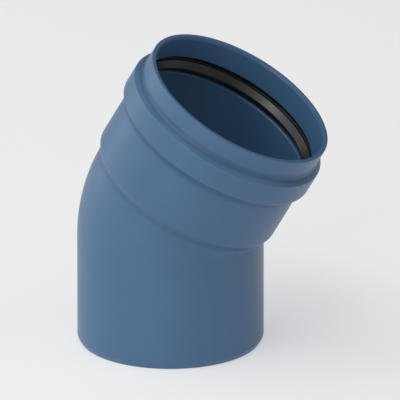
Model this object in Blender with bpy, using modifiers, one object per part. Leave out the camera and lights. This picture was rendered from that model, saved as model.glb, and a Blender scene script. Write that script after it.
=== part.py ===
"""Push-fit drain bend for plain-ended pipe: a one-piece moulded body and the lip seal in its socket.

The body is a spigot, a short curved throat and a socket whose bead holds the seal.
Metres, +Z up. The spigot stands on the ground, and the socket leans towards +X.
"""

from math import cos, pi, radians, sin, tan

import bmesh
import bpy
from mathutils import Matrix, Vector

# Pipe that the fitting joins
PIPE_DIAMETER = 0.1100
PIPE_WALL = 0.0034

# Bend
BEND_ANGLE = radians(30)
THROAT_RADIUS = 0.0006  # outside of the pipe, on the inner side of the bend

# Spigot
SPIGOT_LENGTH = 0.0648
SPIGOT_CHAMFER_LENGTH = 0.0035
SPIGOT_CHAMFER_DEPTH = 0.0020

# Socket, whose lengths run along its own axis
SOCKET_DEPTH = 0.0652  # from the rim to the pipe stop
SOCKET_WALL = 0.00295
SOCKET_CLEARANCE = 0.0004  # all round the pipe
SOCKET_TAPER = 0.00715  # cone between the bend and the socket
STOP_SLOPE = 0.0020  # length of the stop's shoulder beyond its flat face
STOP_FACE = 0.0022  # width of the flat ring that a pipe end meets
LEAD_IN_LENGTH = 0.0020
LEAD_IN_DEPTH = 0.0006

# Bead on the outside of the socket
MOUTH_LENGTH = 0.0117  # plain collar between the rim and the bead
BEAD_RISE = 0.0046
BEAD_CREST = 0.0120
BEAD_FALL = 0.0043
BEAD_WALL = 0.00266

# Seal groove inside the bead
GROOVE_DEPTH = 0.0040
GROOVE_SETBACK = 0.0033  # from the end of the mouth collar to the groove
GROOVE_SHORTFALL = 0.0011  # from the groove to the end of the bead's crest

# Lip seal
SEAL_CLEARANCE = 0.0003  # between the seal and the groove
SEAL_HEAD = 0.0022  # thickness of the seal's band at the groove's lower wall
SEAL_CROWN = 0.0004  # width of the band where it meets the groove's upper wall
SEAL_WAIST = 0.0011  # thickness of the band between its crown and its lip
LIP_INTERFERENCE = 0.0018  # how far the relaxed lip reaches inside the pipe's surface
LIP_START = 0.0036  # from the groove's upper wall to the lip's front edge
LIP_FALL = 0.0031  # how far the lip slants towards the bend
LIP_THICKNESS = 0.0012
LIP_FRONT_INSET = 0.0007  # from the socket's bore out to the lip's front edge

# Edges
EDGE_RADIUS = 0.0006
CREST_RADIUS = 0.0012
FOOT_RADIUS = 0.0018
GROOVE_EDGE_RADIUS = 0.0013

# Fineness and joining
SEGMENTS = 72  # round the pipe, a multiple of four
BEND_STEPS = 8
ARC_STEPS = 2
MOST_OF_SIDE = 0.45  # share of a side that a fillet may take
WELD_DISTANCE = 0.00001
SHARP_ANGLE = radians(25)

# Sizes that follow
PIPE_RADIUS = PIPE_DIAMETER / 2
PIPE_BORE = PIPE_RADIUS - PIPE_WALL
BEND_RADIUS = PIPE_RADIUS + THROAT_RADIUS
BEND_ACROSS = BEND_RADIUS * (1 - cos(BEND_ANGLE))  # from the spigot's axis to the middle of the bend's end
BEND_END_HEIGHT = SPIGOT_LENGTH + BEND_RADIUS * sin(BEND_ANGLE)
SOCKET_BORE = PIPE_RADIUS + SOCKET_CLEARANCE
SOCKET_RADIUS = SOCKET_BORE + SOCKET_WALL
GROOVE_RADIUS = SOCKET_BORE + GROOVE_DEPTH
BEAD_RADIUS = GROOVE_RADIUS + BEAD_WALL
RIM = SOCKET_TAPER + SOCKET_DEPTH  # heights in the socket start where the bend ends
STOP = SOCKET_TAPER
CREST_TOP = RIM - MOUTH_LENGTH - BEAD_RISE
CREST_BOTTOM = CREST_TOP - BEAD_CREST
GROOVE_TOP = RIM - MOUTH_LENGTH - GROOVE_SETBACK
GROOVE_BOTTOM = CREST_BOTTOM + GROOVE_SHORTFALL

MOULDED_BLUE = (0.085, 0.160, 0.270, 1.0)
SEAL_BLACK = (0.030, 0.031, 0.033, 1.0)


def clear_scene():
    for obj in list(bpy.data.objects):
        bpy.data.objects.remove(obj)


def plain_material(name, colour, roughness):
    material = bpy.data.materials.new(name)
    material.use_nodes = True
    surface = material.node_tree.nodes["Principled BSDF"]
    surface.inputs["Base Color"].default_value = colour
    surface.inputs["Roughness"].default_value = roughness
    surface.inputs["Metallic"].default_value = 0.0
    return material


def rounded(corners, closed=False):
    """Outline through corners of (radius, height, fillet), with a short arc for each fillet."""
    if closed:
        before, after = corners[-1:] + corners[:-1], corners[1:] + corners[:1]
    else:
        before, after = corners[:1] + corners[:-1], corners[1:] + corners[-1:]
    outline = []
    for previous, corner, following in zip(before, corners, after):
        point, fillet = Vector(corner[:2]), corner[2]
        if not fillet:
            outline.append(point)
            continue
        back, ahead = Vector(previous[:2]) - point, Vector(following[:2]) - point
        half = back.angle(ahead) / 2
        reach = min(fillet / tan(half), MOST_OF_SIDE * min(back.length, ahead.length))
        centre = point + (back.normalized() + ahead.normalized()).normalized() * reach / cos(half)
        start = point + back.normalized() * reach - centre
        end = point + ahead.normalized() * reach - centre
        for step in range(ARC_STEPS + 1):
            outline.append(centre + start.slerp(end, step / ARC_STEPS).normalized() * start.length)
    return outline


def spigot_outline():
    """Down the outside of the spigot, round its chamfered end and up its bore."""
    end_radius = PIPE_RADIUS - SPIGOT_CHAMFER_DEPTH
    return rounded([
        (PIPE_RADIUS, SPIGOT_LENGTH, 0),
        (PIPE_RADIUS, SPIGOT_CHAMFER_LENGTH, FOOT_RADIUS),
        (end_radius, 0, EDGE_RADIUS),
        (PIPE_BORE, 0, 0),
        (PIPE_BORE, SPIGOT_LENGTH, 0),
    ])


def bead_slope():
    """Radial rise of the bead's upper cone for each metre along the axis."""
    return (BEAD_RADIUS - SOCKET_RADIUS) / BEAD_RISE


def groove_corner_height(clearance):
    """Height at which the groove's back meets the slope that runs beside the bead's upper cone."""
    lean = (Vector((bead_slope(), 1)).angle(Vector((0, 1)))) / 2
    return CREST_TOP - (BEAD_WALL + clearance) * tan(lean)


def groove_slope_radius(height, clearance):
    """Radius of that slope at a height."""
    below = height - groove_corner_height(clearance)
    return GROOVE_RADIUS - clearance - below * bead_slope()


def socket_outline():
    """Up the inside of the socket from the bend, over the rim and down the outside."""
    stop_bore = SOCKET_BORE - STOP_FACE
    return rounded([
        (PIPE_BORE, 0, 0),
        (PIPE_BORE, STOP - STOP_SLOPE, 0),
        (stop_bore, STOP, 0),
        (SOCKET_BORE, STOP, 0),
        (SOCKET_BORE, GROOVE_BOTTOM, GROOVE_EDGE_RADIUS),
        (GROOVE_RADIUS, GROOVE_BOTTOM, 0),
        (GROOVE_RADIUS, groove_corner_height(0), 0),
        (groove_slope_radius(GROOVE_TOP, 0), GROOVE_TOP, 0),
        (SOCKET_BORE, GROOVE_TOP, 0),
        (SOCKET_BORE, RIM - LEAD_IN_LENGTH, 0),
        (SOCKET_BORE + LEAD_IN_DEPTH, RIM, 0),
        (SOCKET_RADIUS, RIM, EDGE_RADIUS),
        (SOCKET_RADIUS, RIM - MOUTH_LENGTH, FOOT_RADIUS),
        (BEAD_RADIUS, CREST_TOP, CREST_RADIUS),
        (BEAD_RADIUS, CREST_BOTTOM, CREST_RADIUS),
        (SOCKET_RADIUS, CREST_BOTTOM - BEAD_FALL, FOOT_RADIUS),
        (SOCKET_RADIUS, SOCKET_TAPER, FOOT_RADIUS),
        (PIPE_RADIUS, 0, 0),
    ])


def seal_outline():
    """Section of the seal: a band along the groove's back and a lip that leans into the socket."""
    top = GROOVE_TOP - SEAL_CLEARANCE
    bottom = GROOVE_BOTTOM + SEAL_CLEARANCE
    back = GROOVE_RADIUS - SEAL_CLEARANCE
    crown = groove_slope_radius(top, SEAL_CLEARANCE)
    lip_front = GROOVE_TOP - LIP_START
    lip_tip = lip_front - LIP_FALL
    tip_radius = PIPE_RADIUS - LIP_INTERFERENCE
    return rounded([
        (crown - SEAL_CROWN, top, 0),
        (crown, top, 0),
        (back, groove_corner_height(SEAL_CLEARANCE), 0),
        (back, bottom, EDGE_RADIUS),
        (back - SEAL_HEAD, bottom, EDGE_RADIUS),
        (back - SEAL_HEAD, lip_tip, EDGE_RADIUS),
        (tip_radius, lip_tip - LIP_THICKNESS, LIP_THICKNESS / 2),
        (tip_radius, lip_tip, LIP_THICKNESS / 2),
        (SOCKET_BORE + LIP_FRONT_INSET, lip_front, EDGE_RADIUS),
        (back - SEAL_WAIST, lip_front, 0),
    ], closed=True)


def object_from(name, mesh, collection, datum):
    obj = bpy.data.objects.new(name, mesh)
    collection.objects.link(obj)
    obj.parent = datum
    return obj


def turn(obj, axis, angle, steps):
    screw = obj.modifiers.new("Turn", "SCREW")
    screw.axis = axis
    screw.angle = angle
    screw.steps = steps
    screw.render_steps = steps
    screw.merge_threshold = WELD_DISTANCE
    screw.use_smooth_shade = True


def turned(name, outline, closed, collection, datum):
    """Object whose outline of (radius, height) is turned once round its own Z."""
    points = [(point.x, 0, point.y) for point in outline]
    edges = [(i, i + 1) for i in range(len(points) - 1)]
    if closed:
        edges.append((len(points) - 1, 0))
    mesh = bpy.data.meshes.new(name)
    mesh.from_pydata(points, edges, [])
    obj = object_from(name, mesh, collection, datum)
    turn(obj, "Z", 2 * pi, SEGMENTS)
    return obj


def swept_throat(collection, datum):
    """The pipe's two rings, outside and bore, swung round the bend's own axis."""
    rings = bmesh.new()
    middle = Matrix.Translation((-BEND_RADIUS, 0, 0))
    for radius in (PIPE_RADIUS, PIPE_BORE):
        bmesh.ops.create_circle(rings, segments=SEGMENTS, radius=radius, matrix=middle)
    mesh = bpy.data.meshes.new("throat")
    rings.to_mesh(mesh)
    rings.free()
    throat = object_from("throat", mesh, collection, datum)
    throat.location = (BEND_RADIUS, 0, SPIGOT_LENGTH)
    turn(throat, "Y", BEND_ANGLE, BEND_STEPS)
    return throat


def seat_on_bend_end(obj):
    """Puts an object of the socket where the bend ends, leaning as the bend leaves it."""
    obj.location = (BEND_ACROSS, 0, BEND_END_HEIGHT)
    obj.rotation_euler = (0, BEND_ANGLE, 0)


def welded(name, sections, collection, datum):
    """One closed body from open sections that share their end rings."""
    bpy.context.view_layer.update()
    graph = bpy.context.evaluated_depsgraph_get()
    joined = bmesh.new()
    for section in sections:
        surface = bpy.data.meshes.new_from_object(section.evaluated_get(graph))
        surface.transform(section.matrix_local)
        joined.from_mesh(surface)
    bmesh.ops.remove_doubles(joined, verts=joined.verts, dist=WELD_DISTANCE)
    bmesh.ops.recalc_face_normals(joined, faces=joined.faces)
    mesh = bpy.data.meshes.new(name)
    joined.to_mesh(mesh)
    joined.free()
    for section in sections:
        bpy.data.objects.remove(section)
    return object_from(name, mesh, collection, datum)


def moulded_body(collection, datum):
    spigot = turned("spigot", spigot_outline(), False, collection, datum)
    throat = swept_throat(collection, datum)
    socket = turned("socket", socket_outline(), False, collection, datum)
    seat_on_bend_end(socket)
    body = welded("bend_body", [spigot, throat, socket], collection, datum)
    body.data.shade_smooth()
    body.data.set_sharp_from_angle(angle=SHARP_ANGLE)
    body.data.materials.append(plain_material("moulded_blue", MOULDED_BLUE, 0.45))
    return body


def lip_seal(collection, datum):
    seal = turned("lip_seal", seal_outline(), True, collection, datum)
    seat_on_bend_end(seal)
    seal.data.materials.append(plain_material("seal_black", SEAL_BLACK, 0.5))
    return seal


def centre_of_length():
    """How far the middle of the whole fitting lies from the spigot's axis, towards +X."""
    reach = [point.y * sin(BEND_ANGLE) + point.x * cos(BEND_ANGLE) for point in socket_outline()]
    return (BEND_ACROSS + max(reach) - PIPE_RADIUS) / 2


def build():
    clear_scene()
    fitting = bpy.data.collections.new("drain_bend")
    bpy.context.scene.collection.children.link(fitting)
    datum = bpy.data.objects.new("spigot_axis", None)
    fitting.objects.link(datum)
    moulded_body(fitting, datum)
    lip_seal(fitting, datum)
    datum.location = (-centre_of_length(), 0, 0)


build()
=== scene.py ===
# %% [markdown]
# # A push-fit drain bend
# The object is a bend for 110 mm drain pipe. It is one blue moulding, with a plain spigot below and a wide
# socket above, and a black rubber seal that sits in a groove just inside the socket's mouth.
# Its working model is already packed. This lesson loads that model as a fixed frame, makes a finely rounded
# version of each of the two pieces in the same place, and then gives each a surface and a light to be seen
# in. Lengths are in metres, angles in radians, and +Z is up.

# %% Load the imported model
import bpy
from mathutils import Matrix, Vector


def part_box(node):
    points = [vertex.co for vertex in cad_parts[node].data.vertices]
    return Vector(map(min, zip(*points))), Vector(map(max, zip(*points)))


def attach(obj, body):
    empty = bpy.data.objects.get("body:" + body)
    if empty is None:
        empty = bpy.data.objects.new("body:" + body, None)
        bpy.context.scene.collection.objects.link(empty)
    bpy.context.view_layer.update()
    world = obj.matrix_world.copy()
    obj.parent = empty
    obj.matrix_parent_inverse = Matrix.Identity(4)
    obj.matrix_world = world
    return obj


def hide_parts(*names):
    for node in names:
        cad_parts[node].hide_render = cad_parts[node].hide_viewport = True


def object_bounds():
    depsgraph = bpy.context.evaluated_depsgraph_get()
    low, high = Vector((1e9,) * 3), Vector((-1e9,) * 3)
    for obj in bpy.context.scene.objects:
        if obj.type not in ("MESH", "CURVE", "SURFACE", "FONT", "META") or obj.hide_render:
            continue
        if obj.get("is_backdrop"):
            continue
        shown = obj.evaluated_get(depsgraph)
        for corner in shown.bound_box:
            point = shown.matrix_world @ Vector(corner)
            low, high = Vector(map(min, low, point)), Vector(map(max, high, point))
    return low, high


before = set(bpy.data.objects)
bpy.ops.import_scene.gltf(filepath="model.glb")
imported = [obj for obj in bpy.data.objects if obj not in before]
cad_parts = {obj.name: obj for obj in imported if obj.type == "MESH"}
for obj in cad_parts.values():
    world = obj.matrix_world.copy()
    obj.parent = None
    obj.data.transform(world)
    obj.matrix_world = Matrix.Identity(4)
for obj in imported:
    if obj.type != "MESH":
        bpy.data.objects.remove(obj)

cad_box = [list(corner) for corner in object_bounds()]

# %% [markdown]
# ## The sizes of the moulding
# A pipe fitting is a turned shape that has been bent: every cut across it is round. So it is easiest to
# describe straight, as a radius at each distance along the centre line, and to bend at the very end.
# Every distance below runs along that centre line, from the spigot's end towards the mouth. The frame says
# where the spigot stands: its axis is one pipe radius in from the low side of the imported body's box.

# %% Sizes and places
from math import atan2, ceil, copysign, cos, pi, radians, sin, tan

import bmesh
import bpy
from mathutils import Matrix, Vector

PIPE_RADIUS = 0.0550
PIPE_BORE = 0.0516
BEND_ANGLE = radians(30)
BEND_RADIUS = PIPE_RADIUS + 0.0006
SPIGOT_LENGTH = 0.0648
SPIGOT_CHAMFER_LENGTH = 0.0035
SPIGOT_CHAMFER_DEPTH = 0.0020

SOCKET_BORE = PIPE_RADIUS + 0.0004
SOCKET_RADIUS = SOCKET_BORE + 0.00295
GROOVE_RADIUS = SOCKET_BORE + 0.0040
BEAD_WALL = 0.00266
BEAD_RADIUS = GROOVE_RADIUS + BEAD_WALL

BEND_END = SPIGOT_LENGTH + BEND_RADIUS * BEND_ANGLE
STOP = BEND_END + 0.00715
RIM = STOP + 0.0652
MOUTH_FOOT = RIM - 0.0128
CREST_TOP = MOUTH_FOOT - 0.0030
CREST_BOTTOM = CREST_TOP - 0.0137
BEAD_FOOT = CREST_BOTTOM - 0.0034
GROOVE_TOP = RIM - 0.0150
GROOVE_BOTTOM = CREST_BOTTOM + 0.0030

spigot_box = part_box("bend_body")
SPIGOT_AXIS = Vector((spigot_box[0].x + PIPE_RADIUS, 0, spigot_box[0].z))
print(f"spigot axis at x = {SPIGOT_AXIS.x * 1000:.2f} mm, centre line {RIM * 1000:.1f} mm long")

# %% [markdown]
# ## Rounded outlines
# A steel mould has no perfectly sharp corner, and it is the small radii that catch the light. Blender's
# Bevel modifier could round the finished mesh, but it gives every edge one width. Here each corner of an
# outline has its own radius instead, and becomes a true arc before anything is turned. Long sides get
# points along them too, so that they can bend later. Each point also remembers whether it lies on an
# outward corner, which is where handling rubs a fitting first, or in a hollow one, where shade is painted.

# %% An outline with its own radius at each corner
ARC_STEP = radians(9)
LONGEST_SIDE = 0.0020
MOST_OF_SIDE = 0.48  # share of a side that one arc may take
SHARP_TURN = radians(45)  # from here on a corner counts as fully exposed or fully hollow


def arc_at(corner, previous, following):
    """Points of (radius, along, exposure) round one corner, from -1 in a hollow to 1 on an outward corner."""
    place, fillet = Vector(corner[:2]), corner[2]
    back, ahead = Vector(previous[:2]) - place, Vector(following[:2]) - place
    half = back.angle(ahead) / 2
    reach = min(fillet / tan(half), MOST_OF_SIDE * min(back.length, ahead.length))
    centre = place + (back.normalized() + ahead.normalized()).normalized() * reach / cos(half)
    start = place + back.normalized() * reach - centre
    end = place + ahead.normalized() * reach - centre
    turn = pi - 2 * half
    # The material is on the right, so outward corners turn right. A shallow corner is worn less, or given
    # less painted shade.
    exposure = -copysign(min(turn / SHARP_TURN, 1) ** 2, start.cross(end))
    steps = ceil(turn / ARC_STEP)
    arc = [centre + start.slerp(end, i / steps).normalized() * start.length for i in range(steps + 1)]
    return [(point.x, point.y, exposure) for point in arc]


def rounded(corners):
    """A closed outline through corners of (radius, along, fillet), with no side over LONGEST_SIDE."""
    arcs = []
    for i, corner in enumerate(corners):
        arcs += arc_at(corner, corners[i - 1], corners[(i + 1) % len(corners)])
    outline = []
    for point, following in zip(arcs, arcs[1:] + arcs[:1]):
        outline.append(point)
        start, side = Vector(point[:2]), Vector(following[:2]) - Vector(point[:2])
        pieces = ceil(side.length / LONGEST_SIDE)
        outline += [(*(start + side * i / pieces), 0.0) for i in range(1, pieces)]
    return outline


square = rounded([(0, 0, 0.0005), (0, 0.002, 0.0005), (0.002, 0.002, 0.0005), (0.002, 0, 0.0005)])
print("a 2 mm square with 0.5 mm corners has", len(square), "points")

# %% [markdown]
# ## The outline of the moulding
# The bore runs straight up from the spigot, steps out to a stop that a pushed-in pipe meets, and opens into
# the socket. The groove for the seal has a crisp upper lip and a soft lower one, so that the rubber isn't
# cut when a pipe passes. Outside, a bead follows the groove round with an even wall, as moulders like it.
# The wall from the rim to the bead is a plain band.

# %% Outline of the moulding
bead_slope = (BEAD_RADIUS - SOCKET_RADIUS) / (MOUTH_FOOT - CREST_TOP)


def groove_corner(clearance):
    """Where the groove's back meets the slope that runs beside the bead's upper cone."""
    lean = Vector((bead_slope, 1)).angle(Vector((0, 1))) / 2
    return CREST_TOP - (BEAD_WALL + clearance) * tan(lean)


def groove_slope(along, clearance):
    """Radius of that slope at a distance along the centre line."""
    return GROOVE_RADIUS - clearance - (along - groove_corner(clearance)) * bead_slope


moulding_outline = rounded([
    (PIPE_BORE, 0, 0.0005),
    (PIPE_BORE, STOP - 0.0020, 0.0010),
    (SOCKET_BORE - 0.0022, STOP, 0.0005),
    (SOCKET_BORE, STOP, 0.0005),
    (SOCKET_BORE, GROOVE_BOTTOM, 0.0022),
    (GROOVE_RADIUS, GROOVE_BOTTOM, 0.0005),
    (GROOVE_RADIUS, groove_corner(0), 0.0010),
    (groove_slope(GROOVE_TOP, 0), GROOVE_TOP, 0.0002),
    (SOCKET_BORE, GROOVE_TOP, 0.0003),
    (SOCKET_BORE, RIM - 0.0020, 0.0010),
    (SOCKET_BORE + 0.0006, RIM, 0.0004),
    (SOCKET_RADIUS, RIM, 0.0006),
    (SOCKET_RADIUS, MOUTH_FOOT, 0.0030),
    (BEAD_RADIUS, CREST_TOP, 0.0009),
    (BEAD_RADIUS, CREST_BOTTOM, 0.0016),
    (SOCKET_RADIUS, BEAD_FOOT, 0.0026),
    (SOCKET_RADIUS, STOP - 0.0004, 0.0040),
    (PIPE_RADIUS, BEND_END + 0.0014, 0.0040),
    (PIPE_RADIUS, SPIGOT_CHAMFER_LENGTH, 0.0018),
    (PIPE_RADIUS - SPIGOT_CHAMFER_DEPTH, 0, 0.0006),
])
print("the moulding's outline has", len(moulding_outline), "points")

# %% [markdown]
# ## The outline of the seal
# The seal is one ring of rubber: a band that fills the groove's back, and a lip that leans inwards and
# towards the socket, so that pushing a pipe in bends it aside and wipes the joint shut. Nothing may touch
# the groove itself, so a small clearance runs round it.

# %% Outline of the seal
CLEARANCE = 0.0003
LIP_START = GROOVE_TOP - 0.0033
LIP_TIP = LIP_START - 0.0037
LIP_THICKNESS = 0.0012
LIP_RADIUS = PIPE_RADIUS - 0.0018

seal_top = GROOVE_TOP - CLEARANCE
seal_foot = GROOVE_BOTTOM + CLEARANCE
seal_back = GROOVE_RADIUS - CLEARANCE
seal_crown = groove_slope(seal_top, CLEARANCE)
seal_face = seal_back - 0.0022
seal_outline = rounded([
    (seal_back, seal_foot, 0.0005),
    (seal_face, seal_foot, 0.0006),
    (seal_face, LIP_TIP, 0.0006),
    (LIP_RADIUS, LIP_TIP - LIP_THICKNESS, 0.0006),
    (LIP_RADIUS, LIP_TIP, 0.0006),
    (SOCKET_BORE + 0.0007, LIP_START, 0.0006),
    (seal_back - 0.0011, LIP_START, 0.0004),
    (seal_crown - 0.0004, seal_top, 0.0001),
    (seal_crown, seal_top, 0.0001),
    (seal_back, groove_corner(CLEARANCE), 0.0008),
])
print("the seal's outline has", len(seal_outline), "points")

# %% [markdown]
# ## Turning and bending
# The Screw modifier turns a profile too, but bmesh's spin leaves real vertices that can be moved one by one,
# and that is what a bend needs. Each vertex keeps its straight place as an attribute before it moves, so
# that grain and tool marks can follow the pipe round the bend as they do on a real moulding. The flat map
# of each piece is the turned surface rolled out: the angle one way and the outline's length the other.

# %% Turn an outline and bend it along the centre line
SEGMENTS = 192
HINGE = Vector((BEND_RADIUS, 0, SPIGOT_LENGTH))


def bent(point):
    """Where a point of the straight piece lies once the centre line is bent."""
    angle = min(max(point.z - SPIGOT_LENGTH, 0) / BEND_RADIUS, BEND_ANGLE)
    arm = Vector((point.x, point.y, point.z - BEND_RADIUS * angle)) - HINGE
    return SPIGOT_AXIS + HINGE + Matrix.Rotation(angle, 3, "Y") @ arm


def unrolled(mesh, straight, run, length):
    """Adds a flat map: the angle round the centre line across, and the run along the outline up."""
    flat = mesh.loops.layers.uv.new("OFBake")
    for face in mesh.faces:
        angles = [atan2(loop.vert[straight].y, loop.vert[straight].x) / (2 * pi) for loop in face.loops]
        runs = [loop.vert[run] / length for loop in face.loops]
        for loop, across, up in zip(face.loops, angles, runs):
            across += 1 if max(angles) - across > 0.5 else 0
            up += 1 if max(runs) - up > 0.5 else 0
            loop[flat].uv = ((across + 0.5) / (1 + 1 / SEGMENTS), up)


def turned_and_bent(name, outline):
    """A closed mesh: the outline turned once round the centre line, then bent along it."""
    mesh = bmesh.new()
    edge = mesh.verts.layers.float.new("edge")
    run = mesh.verts.layers.float.new("run")
    straight = mesh.verts.layers.float_vector.new("straight")
    profile = [mesh.verts.new((radius, 0, along)) for radius, along, _ in outline]
    sides = [mesh.edges.new(ends) for ends in zip(profile, profile[1:] + profile[:1])]
    length = 0.0
    for vertex, side, (_, _, exposure) in zip(profile, sides, outline):
        vertex[edge], vertex[run] = exposure, length
        length += side.calc_length()
    bmesh.ops.spin(
        mesh, geom=profile + sides, axis=(0, 0, 1), cent=(0, 0, 0),
        angle=2 * pi, steps=SEGMENTS, use_merge=True,
    )
    bmesh.ops.recalc_face_normals(mesh, faces=mesh.faces)
    for vertex in mesh.verts:
        vertex[straight] = vertex.co
        vertex.co = bent(vertex.co)
    unrolled(mesh, straight, run, length)
    for face in mesh.faces:
        face.smooth = True
    data = bpy.data.meshes.new(name)
    mesh.to_mesh(data)
    mesh.free()
    piece = bpy.data.objects.new(name, data)
    bpy.context.scene.collection.objects.link(piece)
    piece.modifiers.new("Large faces lead the shading", "WEIGHTED_NORMAL").weight = 100
    return piece


moulding = turned_and_bent("Blue_moulded_bend", moulding_outline)
seal = turned_and_bent("Black_rubber_lip_seal", seal_outline)
for piece, node, slot in ((moulding, "bend_body", "moulded_blue"), (seal, "lip_seal", "seal_rubber")):
    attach(piece, "root")
    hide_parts(node)
    print(piece.name, "has", len(piece.data.polygons), "faces, and stands for", node)

# %% [markdown]
# ## Building blocks for finishes
# Both finishes come out of a mould, so both need the mould's fine texture, slow changes of tone, and a
# little rub on the outward corners. The blue needs tool lines and painted shade in its hollow corners as
# well. Each of these is a shader node group, built once and then placed in each material with its own
# values. A group only works out masks and heights: the colours and the shader itself stay in the material.
# Some small helpers come first. They add a node with each input linked or set, open a group with named
# sockets, place a group in a material, and shorten the two most common nodes, noise and sums.

# %% Helpers for nodes and node groups
NODE_SPACING = 190


def add_node(tree, kind, inputs, **settings):
    """A new shader node with its settings made and each input linked or set."""
    made = tree.nodes.new("ShaderNode" + kind)
    made.location.x = NODE_SPACING * len(tree.nodes)
    for name, value in settings.items():
        setattr(made, name, value)
    for name, value in inputs.items():
        if isinstance(value, bpy.types.NodeSocket):
            tree.links.new(value, made.inputs[name])
        else:
            made.inputs[name].default_value = value
    return made


def open_group(name, inputs, outputs):
    """An empty shader node group, with its Group Input's and Group Output's sockets."""
    tree = bpy.data.node_groups.new(name, "ShaderNodeTree")
    for socket, (kind, value) in inputs.items():
        made = tree.interface.new_socket(socket, in_out="INPUT", socket_type="NodeSocket" + kind)
        if value is not None:
            made.default_value = value
    for socket, kind in outputs.items():
        tree.interface.new_socket(socket, in_out="OUTPUT", socket_type="NodeSocket" + kind)
    return tree, tree.nodes.new("NodeGroupInput").outputs, tree.nodes.new("NodeGroupOutput").inputs


def add_group(tree, group, inputs):
    """Places a group in a material, with its inputs linked or set."""
    made = add_node(tree, "Group", {}, node_tree=group)
    for name, value in inputs.items():
        if isinstance(value, bpy.types.NodeSocket):
            tree.links.new(value, made.inputs[name])
        else:
            made.inputs[name].default_value = value
    return made.outputs


def noise(tree, vector, size, detail=2.0, roughness=0.5):
    """A noise value whose blotches are about `size` metres across; size may be a socket."""
    scale = add_node(tree, "Math", {0: 1.0, 1: size}, operation="DIVIDE").outputs[0]
    inputs = {"Vector": vector, "Scale": scale, "Detail": detail, "Roughness": roughness}
    return add_node(tree, "TexNoise", inputs).outputs["Fac"]


def maths(tree, operation, first, second):
    return add_node(tree, "Math", {0: first, 1: second}, operation=operation).outputs[0]


print("helpers ready: nodes, groups, noise and sums")

# %% [markdown]
# ## Mould texture
# The steel of the mould is spark-eroded or blasted, and the plastic copies it: a fine grain under half a
# millimetre wide, on top of very shallow, slow waves where the wall shrank as it cooled. Displacing the
# mesh that finely would take millions of faces, and a bump does the same to the light. The group works out
# a real height in metres, so the depths below are those of the mould.

# %% Node group: mould texture
mould_texture, given, result = open_group(
    "Mould texture",
    {
        "Vector": ("Vector", None),
        "Grain Size": ("Float", 0.0004),
        "Grain Depth": ("Float", 0.000004),
        "Wave Size": ("Float", 0.0120),
        "Wave Depth": ("Float", 0.00003),
    },
    {"Height": "Float"},
)
grain = noise(mould_texture, given["Vector"], given["Grain Size"])
waves = noise(mould_texture, given["Vector"], given["Wave Size"], detail=1.0)
grain_height = maths(mould_texture, "MULTIPLY", grain, given["Grain Depth"])
wave_height = maths(mould_texture, "MULTIPLY", waves, given["Wave Depth"])
mould_texture.links.new(maths(mould_texture, "ADD", grain_height, wave_height), result["Height"])
print("built", mould_texture.name)

# %% [markdown]
# ## Tool lines
# The inside of a fitting is shaped by a steel core that was turned on a lathe and polished, and drawn out
# along the pipe's axis. Both leave hair-fine lines: rings from the lathe and streaks from the drawing. The
# straight place of each point gives the angle and the distance along the pipe, whatever the bend does.

# %% Node group: tool lines
tool_lines, given, result = open_group(
    "Tool lines",
    {
        "Vector": ("Vector", None),
        "Ring Pitch": ("Float", 0.0009),
        "Streak Width": ("Float", 0.0012),
        "Streak Length": ("Float", 0.0300),
    },
    {"Lines": "Float"},
)
place = add_node(tool_lines, "SeparateXYZ", {"Vector": given["Vector"]}).outputs
angle = maths(tool_lines, "ARCTAN2", place["Y"], place["X"])
across = maths(tool_lines, "MULTIPLY", angle, PIPE_RADIUS)
rings = noise(
    tool_lines,
    add_node(tool_lines, "CombineXYZ", {"Z": place["Z"]}).outputs[0],
    given["Ring Pitch"],
    detail=3.0,
)
stretch = maths(tool_lines, "DIVIDE", given["Streak Width"], given["Streak Length"])
drawn = maths(tool_lines, "MULTIPLY", place["Z"], stretch)
streaks = noise(
    tool_lines,
    add_node(tool_lines, "CombineXYZ", {"X": across, "Y": drawn}).outputs[0],
    given["Streak Width"],
    detail=3.0,
)
tool_lines.links.new(maths(tool_lines, "MULTIPLY", rings, streaks), result["Lines"])
print("built", tool_lines.name)

# %% [markdown]
# ## Slow change of tone
# Pigment is never stirred quite evenly into a melt, and a surface never cools evenly, so colour and sheen
# both drift over some centimetres. Two noises of different size, pulled to a stronger contrast, give one
# soft mask that a material can use for both.

# %% Node group: slow drift
slow_drift, given, result = open_group(
    "Slow drift",
    {
        "Vector": ("Vector", None),
        "Patch Size": ("Float", 0.0400),
        "Cloud Size": ("Float", 0.0060),
        "Contrast": ("Float", 2.0),
    },
    {"Mask": "Float"},
)
patches = noise(slow_drift, given["Vector"], given["Patch Size"], detail=1.0)
clouds = noise(slow_drift, given["Vector"], given["Cloud Size"], detail=3.0)
mixed = add_node(slow_drift, "Mix", {"Factor": 0.35, "A": patches, "B": clouds}).outputs["Result"]
centred = maths(slow_drift, "SUBTRACT", mixed, 0.5)
steeper = maths(slow_drift, "MULTIPLY", centred, given["Contrast"])
mask = add_node(slow_drift, "Math", {0: steeper, 1: 0.5}, operation="ADD", use_clamp=True)
slow_drift.links.new(mask.outputs[0], result["Mask"])
print("built", slow_drift.name)

# %% [markdown]
# ## Rub on the corners
# Stacking, boxing and pushing pipes in rubs the outward corners first. There the grain is worn smoother and
# the colour is a touch paler, in broken specks, not as a clean line. The mesh already marks its outward
# corners, so the group only has to break that mark up.

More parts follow.
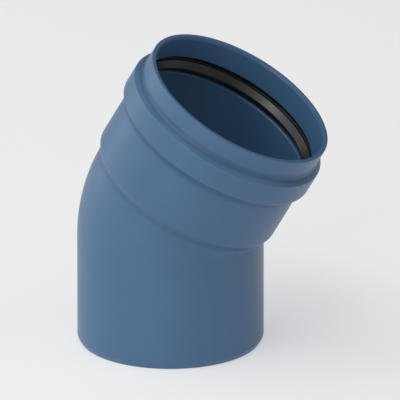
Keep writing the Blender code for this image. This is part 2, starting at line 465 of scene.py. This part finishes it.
# %% Node group: corner rub
corner_rub, given, result = open_group(
    "Corner rub",
    {
        "Vector": ("Vector", None),
        "Exposure": ("Float", 0.0),
        "Speck Size": ("Float", 0.0015),
        "Cover": ("Float", 0.5),
    },
    {"Mask": "Float"},
)
specks = noise(corner_rub, given["Vector"], given["Speck Size"], detail=4.0, roughness=0.65)
bare = maths(corner_rub, "SUBTRACT", 1.0, given["Cover"])
speck_mask = add_node(
    corner_rub, "MapRange",
    {"Value": specks, "From Min": maths(corner_rub, "MULTIPLY", bare, 0.8), "From Max": 1.0},
    interpolation_type="SMOOTHSTEP",
).outputs["Result"]
outward = maths(corner_rub, "MAXIMUM", given["Exposure"], 0.0)
corner_rub.links.new(maths(corner_rub, "MULTIPLY", speck_mask, outward), result["Mask"])
print("built", corner_rub.name)

# %% [markdown]
# ## Painted shade in the hollows
# The hollow corners are painted darker, standing in for the shade that falls there, and this draws the soft
# dark lines beside the bead. It is the rub's opposite: it reads the same mark with the sign turned round,
# and clouds thin it here and there.

# %% Node group: painted hollow shade
painted_hollow_shade, given, result = open_group(
    "Painted hollow shade",
    {
        "Vector": ("Vector", None),
        "Exposure": ("Float", 0.0),
        "Cloud Size": ("Float", 0.0080),
        "Cover": ("Float", 0.9),
    },
    {"Mask": "Float"},
)
# Painted shade: how dark a hollow corner is drawn, thinned here and there by clouds.
clouds = noise(painted_hollow_shade, given["Vector"], given["Cloud Size"], detail=3.0)
shade_depth = maths(painted_hollow_shade, "ADD", given["Cover"], maths(painted_hollow_shade, "SUBTRACT", clouds, 0.5))
hollow = maths(painted_hollow_shade, "MAXIMUM", maths(painted_hollow_shade, "MULTIPLY", given["Exposure"], -1.0), 0.0)
shaded_hollow = add_node(painted_hollow_shade, "Math", {0: shade_depth, 1: hollow}, operation="MULTIPLY", use_clamp=True)
painted_hollow_shade.links.new(shaded_hollow.outputs[0], result["Mask"])
print("built", painted_hollow_shade.name)

# %% [markdown]
# ## Blue moulded plastic
# The body is a plastic coloured right through, with a satin skin straight from the mould. Its blue is
# greyish and quite dark, and what makes it read as plastic is a broad soft highlight. The shader is one
# Principled BSDF. Everything that is the same all over, such as its specular level, is set on the shader
# itself, and only what varies is linked in.

# %% Material: blue moulded plastic
BLUE = (0.0520, 0.1310, 0.2460, 1)
DEEP_BLUE = (0.0463, 0.1220, 0.2320, 1)
RUBBED_BLUE = (0.0780, 0.1600, 0.2700, 1)
# Painted shade: the darker blue drawn into the hollow corners.
SHADED_BLUE = (0.0320, 0.0900, 0.1800, 1)
SATIN = {"To Min": 0.40, "To Max": 0.47}  # roughness of the clean skin
LINES_POLISH, RUB_POLISH, HOLLOW_DULLS = -0.12, -0.10, 0.06  # what each effect adds to it


def new_finish(name, settings):
    """A material with its shader's constant inputs set, and the attributes that its effects read."""
    material = bpy.data.materials.new(name)
    material.use_nodes = True
    tree = material.node_tree
    surface = tree.nodes["Principled BSDF"]
    for socket, value in settings.items():
        surface.inputs[socket].default_value = value
    straight = add_node(tree, "Attribute", {}, attribute_name="straight").outputs["Vector"]
    exposure = add_node(tree, "Attribute", {}, attribute_name="edge").outputs["Fac"]
    return material, tree, surface.inputs, straight, exposure


def mixed_colours(tree, mask, colour, other):
    """The first colour where the mask is 0 and the other where it is 1."""
    made = add_node(tree, "Mix", {}, data_type="RGBA")
    for place, value in ((0, mask), (6, colour), (7, other)):
        if isinstance(value, bpy.types.NodeSocket):
            tree.links.new(value, made.inputs[place])
        else:
            made.inputs[place].default_value = value
    return made.outputs[2]


def linked_bump(tree, height):
    """A bump whose height is in metres."""
    return add_node(tree, "Bump", {"Height": height, "Strength": 1.0, "Distance": 1.0}).outputs["Normal"]


blue_plastic, tree, shader, straight, exposure = new_finish(
    "Blue moulded plastic", {"Specular IOR Level": 0.5, "IOR": 1.49}
)
drift = add_group(tree, slow_drift, {"Vector": straight, "Contrast": 2.5})["Mask"]
rub = add_group(
    tree, corner_rub, {"Vector": straight, "Exposure": exposure, "Speck Size": 0.0012, "Cover": 0.45}
)["Mask"]
lines = add_group(tree, tool_lines, {"Vector": straight})["Lines"]
texture = add_group(tree, mould_texture, {"Vector": straight})["Height"]
# Painted shade in the hollow corners; the same mask also makes them a little rougher.
hollow_shade = add_group(tree, painted_hollow_shade, {"Vector": straight, "Exposure": exposure})["Mask"]
tone = mixed_colours(tree, drift, DEEP_BLUE, BLUE)
worn = mixed_colours(tree, rub, tone, RUBBED_BLUE)
tree.links.new(mixed_colours(tree, hollow_shade, worn, SHADED_BLUE), shader["Base Color"])
sheen = add_node(tree, "MapRange", {"Value": drift, **SATIN}).outputs["Result"]
for mask, amount in ((lines, LINES_POLISH), (rub, RUB_POLISH), (hollow_shade, HOLLOW_DULLS)):
    sheen = add_node(tree, "Math", {0: mask, 1: amount, 2: sheen}, operation="MULTIPLY_ADD").outputs[0]
tree.links.new(sheen, shader["Roughness"])
tree.links.new(linked_bump(tree, texture), shader["Normal"])
moulding.data.materials.append(blue_plastic)
print(blue_plastic.name, "has", len(tree.nodes), "nodes")

# %% [markdown]
# ## Black rubber
# The seal is moulded too, in a polished tool, so it is glossier than the body but softer at its edges, and
# rubber always carries a faint grey bloom that wanders over it. The same groups serve, with finer grain,
# smaller patches and a pale bloom in place of the second blue.

# %% Material: black rubber
RUBBER = (0.006, 0.0065, 0.007, 1)
BLOOM = (0.016, 0.0165, 0.017, 1)
RUBBED_RUBBER = (0.030, 0.031, 0.032, 1)
GLOSS = {"To Min": 0.26, "To Max": 0.36}  # roughness of the rubber

black_rubber, tree, shader, straight, exposure = new_finish(
    "Black rubber", {"Specular IOR Level": 0.5, "IOR": 1.52}
)
bloom = add_group(
    tree, slow_drift, {"Vector": straight, "Patch Size": 0.0150, "Cloud Size": 0.0020, "Contrast": 3.0}
)["Mask"]
rub = add_group(
    tree, corner_rub, {"Vector": straight, "Exposure": exposure, "Speck Size": 0.0006, "Cover": 0.40}
)["Mask"]
texture = add_group(
    tree, mould_texture,
    {"Vector": straight, "Grain Size": 0.0003, "Grain Depth": 0.000003, "Wave Size": 0.0060},
)["Height"]
tone = mixed_colours(tree, bloom, RUBBER, BLOOM)
tree.links.new(mixed_colours(tree, rub, tone, RUBBED_RUBBER), shader["Base Color"])
sheen = add_node(tree, "MapRange", {"Value": bloom, **GLOSS}).outputs["Result"]
tree.links.new(sheen, shader["Roughness"])
tree.links.new(linked_bump(tree, texture), shader["Normal"])
seal.data.materials.append(black_rubber)
print(black_rubber.name, "has", len(tree.nodes), "nodes")

# %% [markdown]
# ## Floor
# The fitting stands on its spigot's end on a pale matt sheet that runs well past the edge of the view, so
# no horizon shows. A real sweep would curve up behind, but a flat sheet is enough when the camera looks
# down. Part of its brightness is a glow of its own, as from a lit table, which keeps the fitting's shadow
# pale. Its lower face is see-through, so that the fitting can be looked at from beneath.

# %% Floor
FLOOR_SIDE = 12.0
FLOOR_TONE = (0.505, 0.490, 0.470, 1)
FLOOR_GLOW = (0.440, 0.452, 0.474, 1)

floor_mesh = bmesh.new()
bmesh.ops.create_grid(floor_mesh, x_segments=8, y_segments=8, size=FLOOR_SIDE / 2)
floor_data = bpy.data.meshes.new("Floor")
floor_mesh.to_mesh(floor_data)
floor_mesh.free()
floor = bpy.data.objects.new("Floor", floor_data)
floor.location.z = cad_box[0][2]
bpy.context.scene.collection.objects.link(floor)
floor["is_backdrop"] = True

pale_sheet = bpy.data.materials.new("Pale matt sheet")
pale_sheet.use_nodes = True
tree = pale_sheet.node_tree
paper = tree.nodes["Principled BSDF"]
paper.inputs["Base Color"].default_value = FLOOR_TONE
paper.inputs["Roughness"].default_value = 0.9
paper.inputs["Specular IOR Level"].default_value = 0.1
paper.inputs["Emission Color"].default_value = FLOOR_GLOW
paper.inputs["Emission Strength"].default_value = 1.0
underside = add_node(tree, "NewGeometry", {}).outputs["Backfacing"]
clear = add_node(tree, "BsdfTransparent", {}).outputs["BSDF"]
one_sided = add_node(tree, "MixShader", {0: underside, 2: clear})
tree.links.new(paper.outputs["BSDF"], one_sided.inputs[1])
tree.links.new(one_sided.outputs[0], tree.nodes["Material Output"].inputs["Surface"])
floor_data.materials.append(pale_sheet)
print("floor at z =", floor.location.z)

# %% [markdown]
# ## Light
# The light is that of a small product studio with a dim room. Most of it comes from low softboxes in front
# and on the left, which give the curved walls their fall from light to dark, and little comes from straight
# above, so the bead's upward flank stays dark. A small key makes the narrow highlight on the rubber, and
# weaker boxes open up the right and the back. Each lamp stands the same distance off, so that the floor is
# lit evenly. Directions are given as the camera's are: an azimuth round the object, where 0 is in front and
# 90 on the right, and an elevation above the floor.

# %% Room and softboxes
LAMP_DISTANCE = 3.0
ROOM_LIGHT, ROOM_SEEN = 0.17, 0.84  # the room gives less light than the camera sees in it

middle = (Vector(cad_box[0]) + Vector(cad_box[1])) / 2


def towards(azimuth, elevation):
    """Unit vector from the object towards a direction given in degrees."""
    a, e = radians(azimuth), radians(elevation)
    return Vector((sin(a) * cos(e), -cos(a) * cos(e), sin(e)))


def softbox(name, azimuth, elevation, side, power):
    """A square area light that faces the middle of the object."""
    light = bpy.data.lights.new(name, "AREA")
    light.shape, light.size, light.energy = "SQUARE", side, power
    lamp = bpy.data.objects.new(name, light)
    lamp.location = middle + towards(azimuth, elevation) * LAMP_DISTANCE
    lamp.rotation_euler = towards(azimuth, elevation).to_track_quat("Z", "Y").to_euler()
    bpy.context.scene.collection.objects.link(lamp)
    return lamp


room = bpy.data.worlds.new("Pale room")
room.use_nodes = True
tree = room.node_tree
seen = add_node(tree, "LightPath", {}).outputs["Is Camera Ray"]
strength = add_node(tree, "MapRange", {"Value": seen, "To Min": ROOM_LIGHT, "To Max": ROOM_SEEN})
tree.links.new(strength.outputs["Result"], tree.nodes["Background"].inputs["Strength"])
tree.nodes["Background"].inputs["Color"].default_value = (1.0, 1.0, 1.0, 1)
bpy.context.scene.world = room
lamps = [
    softbox("Low front softbox", -8, 12, 1.5, 23.0),
    softbox("High front softbox", 20, 50, 2.4, 11.5),
    softbox("Small key", 3, 62, 0.9, 12.8),
    softbox("Left key", -45, 50, 1.4, 16.0),
    softbox("High left softbox", -90, 50, 1.8, 11.5),
    softbox("Low left softbox", -65, 15, 1.7, 11.8),
    softbox("Low back left softbox", -100, 12, 1.5, 11.9),
    softbox("Right softbox", 95, 32, 2.0, 9.8),
    softbox("Back softbox", -150, 60, 2.0, 7.5),
]
print("lit by", [lamp.name for lamp in lamps])

# %% [markdown]
# ## Camera
# Product pictures of fittings are taken from far off with a long lens, which keeps the pipe's sides
# parallel. The camera looks down a little, from the open side of the socket. How far back it stands follows
# from the lens and the width that the view should take in.

# %% Camera
LENS = 1400.0
SENSOR = 36.0
VIEW_WIDTH = 0.23535
CAMERA_AZIMUTH, CAMERA_ELEVATION = 19.4, 19.8
AIM_OFFSET = Vector((-0.0010, 0, -0.0034))  # from the middle of the object to the middle of the view

lens = bpy.data.cameras.new("Long lens")
lens.lens, lens.sensor_width = LENS, SENSOR
camera = bpy.data.objects.new("Camera", lens)
back = towards(CAMERA_AZIMUTH, CAMERA_ELEVATION)
distance = VIEW_WIDTH * LENS / SENSOR
camera.location = middle + AIM_OFFSET + back * distance
camera.rotation_euler = back.to_track_quat("Z", "Y").to_euler()
lens.clip_start, lens.clip_end = distance / 10, distance * 2
bpy.context.scene.collection.objects.link(camera)
bpy.context.scene.camera = camera
bpy.context.scene.view_settings.view_transform = "Standard"
print(f"camera {distance:.2f} m away")

# %% [markdown]
# ## Measure and finish
# The visual pieces must fill the same space as the imported model, so both boxes are written side by side.

# %% Sizes of the packed and the visual model
visual_box = [list(corner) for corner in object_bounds()]
for label, box in (("packed", cad_box), ("visual", visual_box)):
    print(label, "size in mm:", [round((high - low) * 1000, 2) for low, high in zip(*box)])
